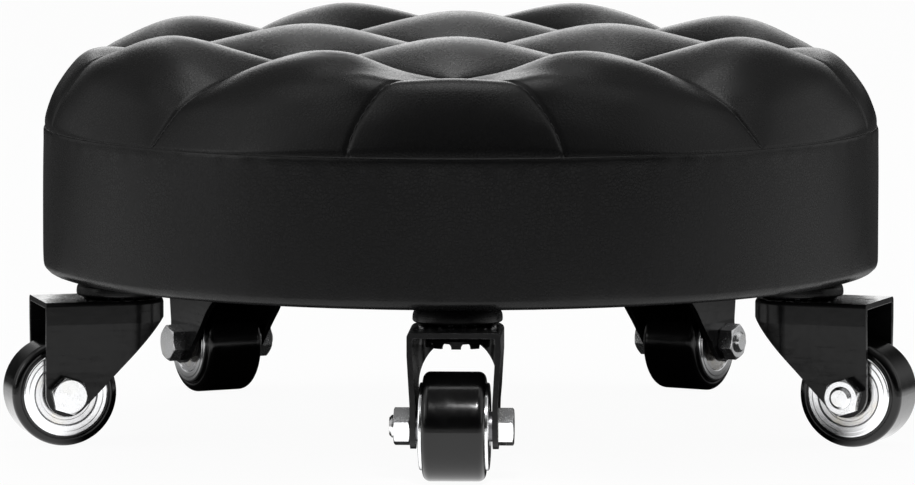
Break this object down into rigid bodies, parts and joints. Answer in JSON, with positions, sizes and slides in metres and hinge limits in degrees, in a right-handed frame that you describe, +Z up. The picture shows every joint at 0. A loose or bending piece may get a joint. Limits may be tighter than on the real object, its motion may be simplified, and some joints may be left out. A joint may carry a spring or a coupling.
{
  "type": "creeper seat",
  "caption": "Low round roller stool with a quilted black cushion on a board, carried close to the floor by swivel casters with steel forks, ball bearings and round tyres.",
  "frame": {"origin": "centre of the footprint box, on the floor under the wheels", "axes": "+Z up; +X to the right and -Y towards the viewer in the picture; the seat's own axis is parallel to Z at x 0.57 mm, y 9.07 mm"},
  "size_m": [0.3282, 0.3222, 0.146],
  "materials": {
    "cover": "pebbled leatherette, satin",
    "foam": "open-cell foam, matte",
    "plywood": "raw birch plywood",
    "dust_cloth": "non-woven cloth, matte",
    "staple_wire": "galvanised wire",
    "zinc_plate": "bright zinc plate",
    "stem_steel": "plain turned steel",
    "black_steel": "gloss black enamel",
    "ball_steel": "polished",
    "bearing_steel": "ground steel",
    "tyre": "gloss black polyurethane",
    "bright_core": "bright zinc plate"
  },
  "bodies": {
    "seat": {"seat_cover": "cover", "side_band": "cover", "foam_pad": "foam", "base_board": "plywood", "dust_cloth": "dust_cloth", "staples": "staple_wire", "tee_nuts": "zinc_plate", "caster_stems": "stem_steel", "upper_races": "black_steel", "lower_races": "black_steel", "swivel_balls": "ball_steel"},
    "swivel_front": {"fork_front": "black_steel", "axle_bolt_front": "zinc_plate", "axle_nut_front": "zinc_plate", "axle_spacers_front": "stem_steel", "inner_races_front": "bearing_steel"},
    "wheel_front": {"tyre_front": "tyre", "wheel_core_front": "bright_core", "outer_races_front": "bearing_steel", "bearing_balls_front": "ball_steel"},
    "swivel_left": {"fork_left": "black_steel", "axle_bolt_left": "zinc_plate", "axle_nut_left": "zinc_plate", "axle_spacers_left": "stem_steel", "inner_races_left": "bearing_steel"},
    "wheel_left": {"tyre_left": "tyre", "wheel_core_left": "bright_core", "outer_races_left": "bearing_steel", "bearing_balls_left": "ball_steel"},
    "swivel_right": {"fork_right": "black_steel", "axle_bolt_right": "zinc_plate", "axle_nut_right": "zinc_plate", "axle_spacers_right": "stem_steel", "inner_races_right": "bearing_steel"},
    "wheel_right": {"tyre_right": "tyre", "wheel_core_right": "bright_core", "outer_races_right": "bearing_steel", "bearing_balls_right": "ball_steel"},
    "swivel_rear_left": {"fork_rear_left": "black_steel", "axle_bolt_rear_left": "zinc_plate", "axle_nut_rear_left": "zinc_plate", "axle_spacers_rear_left": "stem_steel", "inner_races_rear_left": "bearing_steel"},
    "wheel_rear_left": {"tyre_rear_left": "tyre", "wheel_core_rear_left": "bright_core", "outer_races_rear_left": "bearing_steel", "bearing_balls_rear_left": "ball_steel"},
    "swivel_rear_right": {"fork_rear_right": "black_steel", "axle_bolt_rear_right": "zinc_plate", "axle_nut_rear_right": "zinc_plate", "axle_spacers_rear_right": "stem_steel", "inner_races_rear_right": "bearing_steel"},
    "wheel_rear_right": {"tyre_rear_right": "tyre", "wheel_core_rear_right": "bright_core", "outer_races_rear_right": "bearing_steel", "bearing_balls_rear_right": "ball_steel"}
  },
  "joints": [
    {"name": "front_swivel", "type": "hinge", "parent": "seat", "child": "swivel_front", "pos_m": [-0.00055, -0.11933, 0.0522], "axis": [0, 0, 1], "continuous": true},
    {"name": "front_wheel", "type": "hinge", "parent": "swivel_front", "child": "wheel_front", "pos_m": [-0.00156, -0.14171, 0.019], "axis": [0.999, -0.0454, 0], "continuous": true},
    {"name": "left_swivel", "type": "hinge", "parent": "seat", "child": "swivel_left", "pos_m": [-0.12188, -0.02954, 0.0522], "axis": [0, 0, 1], "continuous": true},
    {"name": "left_wheel", "type": "hinge", "parent": "swivel_left", "child": "wheel_left", "pos_m": [-0.14361, -0.035, 0.019], "axis": [0.2436, -0.9699, 0], "continuous": true},
    {"name": "right_swivel", "type": "hinge", "parent": "seat", "child": "swivel_right", "pos_m": [0.12234, -0.03168, 0.0522], "axis": [0, 0, 1], "continuous": true},
    {"name": "right_wheel", "type": "hinge", "parent": "swivel_right", "child": "wheel_right", "pos_m": [0.14325, -0.0397, 0.019], "axis": [0.3584, 0.9336, 0], "continuous": true},
    {"name": "rear_left_swivel", "type": "hinge", "parent": "seat", "child": "swivel_rear_left", "pos_m": [-0.08247, 0.10699, 0.0522], "axis": [0, 0, 1], "continuous": true},
    {"name": "rear_left_wheel", "type": "hinge", "parent": "swivel_rear_left", "child": "wheel_rear_left", "pos_m": [-0.09264, 0.12695, 0.019], "axis": [-0.891, -0.454, 0], "continuous": true},
    {"name": "rear_right_swivel", "type": "hinge", "parent": "seat", "child": "swivel_rear_right", "pos_m": [0.07695, 0.11228, 0.0522], "axis": [0, 0, 1], "continuous": true},
    {"name": "rear_right_wheel", "type": "hinge", "parent": "swivel_rear_right", "child": "wheel_rear_right", "pos_m": [0.08781, 0.13187, 0.019], "axis": [-0.8746, 0.4848, 0], "continuous": true}
  ]
}
